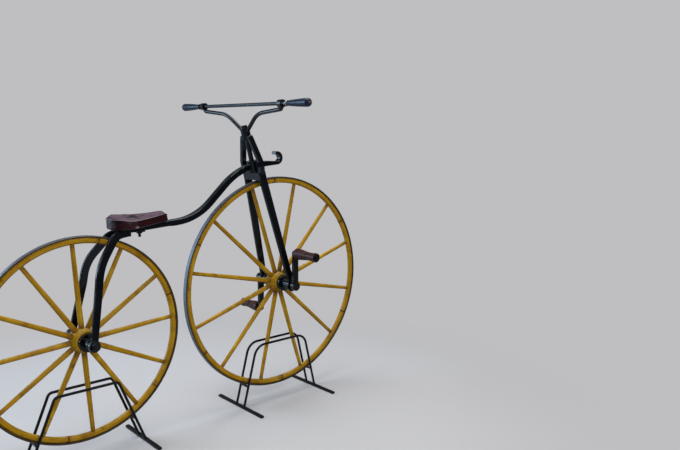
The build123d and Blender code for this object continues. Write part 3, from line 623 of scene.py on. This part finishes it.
def leather(name, deep, worn_and_lit, worn_and_lit_from):
    """Old polished leather: worn, dusty and painted light as a highlight on top, dark on the
    sides, finely grained.
    """
    material, shader, place = new_material(
        name, Coat_Weight=0.08, Coat_Roughness=0.3, Specular_IOR_Level=0.15,
        Specular_Tint=(0.7, 0.76, 1.0, 1.0),
    )
    upward = place.node("TexCoord", None, None, "Normal").part(2)
    clouds = place.noise(16.0, 5.0, 0.6)
    smears = place.stretched(12.0, 60.0, 30.0).noise(1.0, 4.0, 0.6, 0.5)
    # Upper faces painted lighter: wear and dust, and also a painted highlight.
    rubbed_and_lit = upward.held(worn_and_lit_from, worn_and_lit_from + 0.4) * (0.45 + 0.55 * smears.held(0.3, 0.7))
    lighter = (deep[0] * 2.2, deep[1] * 2.0, deep[2] * 2.0, 1.0)
    colour = rubbed_and_lit.tint(clouds.held(0.3, 0.7).tint(deep, lighter), worn_and_lit)
    beside = place.node("VectorMath", {"operation": "SUBTRACT"}, {0: place, 1: button_spot})
    from_button = place.node("VectorMath", {"operation": "LENGTH"}, {0: beside}, 1)
    turn = creases * place.maths("ARCTAN2", beside.part(1), beside.part(0)) + first_crease
    folds = (place.maths("COSINE", turn) * 0.5 + 0.5) ** 3.0
    in_folds = folds * (1 - from_button.held(*crease_end))
    # The button's dimple and the creases round it are painted dark as shade.
    crease_shade = place.maths("MAXIMUM", 1 - from_button.held(*button_shade), in_folds)
    colour = (crease_shade * 0.95).tint(colour, crease_shade_dark)
    from_scuff = place.node("VectorMath", {"operation": "DISTANCE"}, {0: place, 1: scuff_spot}, 1)
    scuff = (from_scuff + place.noise(130.0, 4.0, 0.7) * scuff_ragged).held(*scuff_size)
    colour = (scuff * 0.7).tint(colour, scuff_pink)
    scratches = place.noise(110.0, 6.0, 0.75, 1.2).held(0.66, 0.74)
    colour = (scratches * 0.35).tint(colour, scratch_tan)
    to_edge = {"feature": "DISTANCE_TO_EDGE"}
    cells = place.node("TexVoronoi", to_edge, {"Vector": place, "Scale": 480.0})
    cracks = place.node("TexVoronoi", to_edge, {"Vector": place, "Scale": 70.0})
    roughness = 0.26 + 0.16 * smears + 0.4 * rubbed_and_lit + 0.1 * scratches
    height = cells.held(0.0, 0.2) * 0.5 + cracks.held(0.0, 0.05) * 0.6 + clouds - scratches * 0.4
    lay(shader, Base_Color=colour, Roughness=roughness, Normal=height.bump(0.0005, 0.55))
    return material


oxblood_deep = (0.0105, 0.0012, 0.0014, 1.0)
# The worn colour on upper faces is also a painted highlight.
oxblood_worn_and_lit = (0.095, 0.062, 0.083, 1.0)
oxblood = leather("oxblood_leather", oxblood_deep, oxblood_worn_and_lit, 0.55)
pad.data.materials.clear()
pad.data.materials.append(oxblood)

# The welt: a thin leather roll, sewn in where the saddle's top meets its wall. It follows the
# teardrop's two arcs and straight sides, and rises and falls with the pad. Its upper faces are
# painted pale as a highlight, partly wear, and its lower faces nearly black as painted shade.
welt_rear = (-0.0647, 0.0, rim_height)
welt_rear_radius = 0.0708
welt_nose = (0.0645, 0.0, rim_height)
welt_nose_radius = 0.0254
welt_thickness = 0.0023
# Nearly black painted shade below the rim; pale painted highlight along the top, partly wear.
welt_deep_and_shade = (0.0015, 0.0005, 0.0006, 1.0)
welt_worn_and_lit = (0.2, 0.14, 0.17, 1.0)
bpy.ops.object.select_all(action="DESELECT")
bpy.ops.mesh.primitive_circle_add(vertices=96, radius=welt_rear_radius, location=welt_rear)
welt = bpy.context.object
bpy.ops.object.mode_set(mode="EDIT")
bpy.ops.mesh.primitive_circle_add(vertices=64, radius=welt_nose_radius, location=welt_nose)
bpy.ops.mesh.select_all(action="SELECT")
bpy.ops.mesh.convex_hull(delete_unused=True)
bpy.ops.mesh.dissolve_limited(angle_limit=math.radians(0.5))
bpy.ops.mesh.delete(type="ONLY_FACE")
bpy.ops.mesh.select_all(action="SELECT")
bpy.ops.mesh.subdivide(number_cuts=1)
bpy.ops.object.mode_set(mode="OBJECT")
bpy.ops.object.transform_apply(location=True, rotation=True, scale=True)
for vertex in welt.data.vertices:
    vertex.co = settled(vertex.co)
bpy.ops.object.convert(target="CURVE")
welt = bpy.context.object
welt.data.bevel_depth = welt_thickness
welt.data.bevel_resolution = 3
bpy.ops.object.convert(target="MESH")
welt = bpy.context.object
welt.name = "saddle_welt"
welt.data.transform(saddle_place)
bpy.ops.object.shade_smooth()
welt.data.materials.append(leather("welt_leather", welt_deep_and_shade, welt_worn_and_lit, 0.1))
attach(welt, "frame")

# The button: a small boss covered in the same leather. It is tied down through the stuffing to
# the iron plate, into the middle of the creases.
button_height = 0.0408
button_radius = 0.0075
button_flatness = 0.4
button_centre = button_place + Vector((0.0, 0.0, button_height))
button = low_dome("saddle_button", button_radius, button_centre, (1.0, 1.0, button_flatness))
button.data.transform(saddle_place)
button.data.materials.append(oxblood)
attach(button, "frame")

# Plain pale floor, which keeps the machine's shadow and blends into the backdrop's colour just
# past the stands, and soft studio light: a broad cool light from behind the machine's left, one
# overhead and a weaker one by the camera.
backdrop = (0.52, 0.52, 0.535, 1.0)
floor_grey = (0.46, 0.46, 0.47, 1.0)
floor_pale = (0.5, 0.5, 0.51, 1.0)
blend_from = 0.75
blend_to = 1.9
floor_radius = 30.0
floor_height = -0.001
bpy.ops.object.select_all(action="DESELECT")
bpy.ops.mesh.primitive_circle_add(
    vertices=96, radius=floor_radius, fill_type="NGON", location=(0.0, 0.0, floor_height)
)
floor = bpy.context.object
floor.name = "floor"
bpy.ops.object.transform_apply(location=True, rotation=True, scale=True)
material, shader, place = new_material("pale_floor", Roughness=0.6, Specular_IOR_Level=0.2)
clouds = place.noise(1.3, 4.0, 0.5)
lay(shader, Base_Color=clouds.tint(floor_grey, floor_pale))
from_middle = place.node("VectorMath", {"operation": "LENGTH"}, {0: place}, 1)
camera_rays = place.node("LightPath", None, None, "Is Camera Ray")
glow = place.node("Emission", None, {"Color": backdrop, "Strength": 1.0})
blended = place.node("MixShader", None, {
    0: from_middle.held(blend_from, blend_to) * camera_rays,
    1: Signal(place.tree, shader.outputs[0]), 2: glow,
})
surface = place.tree.nodes["Material Output"].inputs["Surface"]
place.tree.links.new(blended.output, surface)
floor.data.materials.append(material)

# The camera sees the backdrop's colour. Light and reflections come from a dimmer room.
dim_room = (0.15, 0.16, 0.18, 1.0)
world = bpy.data.worlds.new("studio")
bpy.context.scene.world = world
world.use_nodes = True
sky = Signal(world.node_tree)
sky_colour = sky.node("LightPath", None, None, "Is Camera Ray").tint(dim_room, backdrop)
background = world.node_tree.nodes["Background"]
world.node_tree.links.new(sky_colour.output, background.inputs["Color"])
background.inputs["Strength"].default_value = 1.0

lamps_aim = Vector((0.0, 0.0, 0.6))
lamps = (
    ("window_light", (-2.6, 2.8, 1.7), 1.7, 2.8, 125.0, (0.62, 0.79, 1.0)),
    ("ceiling_light", (0.3, 0.2, 3.6), 2.6, 2.6, 120.0, (1.0, 0.98, 0.95)),
    ("camera_light", (-0.6, -3.6, 2.4), 2.2, 2.2, 85.0, (1.0, 0.97, 0.93)),
)
for name, spot, width, height, power, tone in lamps:
    lamp_data = bpy.data.lights.new(name, "AREA")
    lamp_data.shape = "RECTANGLE"
    lamp_data.size = width
    lamp_data.size_y = height
    lamp_data.energy = power
    lamp_data.color = tone
    lamp = bpy.data.objects.new(name, lamp_data)
    lamp.location = spot
    lamp.rotation_mode = "QUATERNION"
    lamp.rotation_quaternion = (lamps_aim - Vector(spot)).to_track_quat("-Z", "Y")
    bpy.context.scene.collection.objects.link(lamp)

bpy.context.scene.view_settings.view_transform = "Standard"
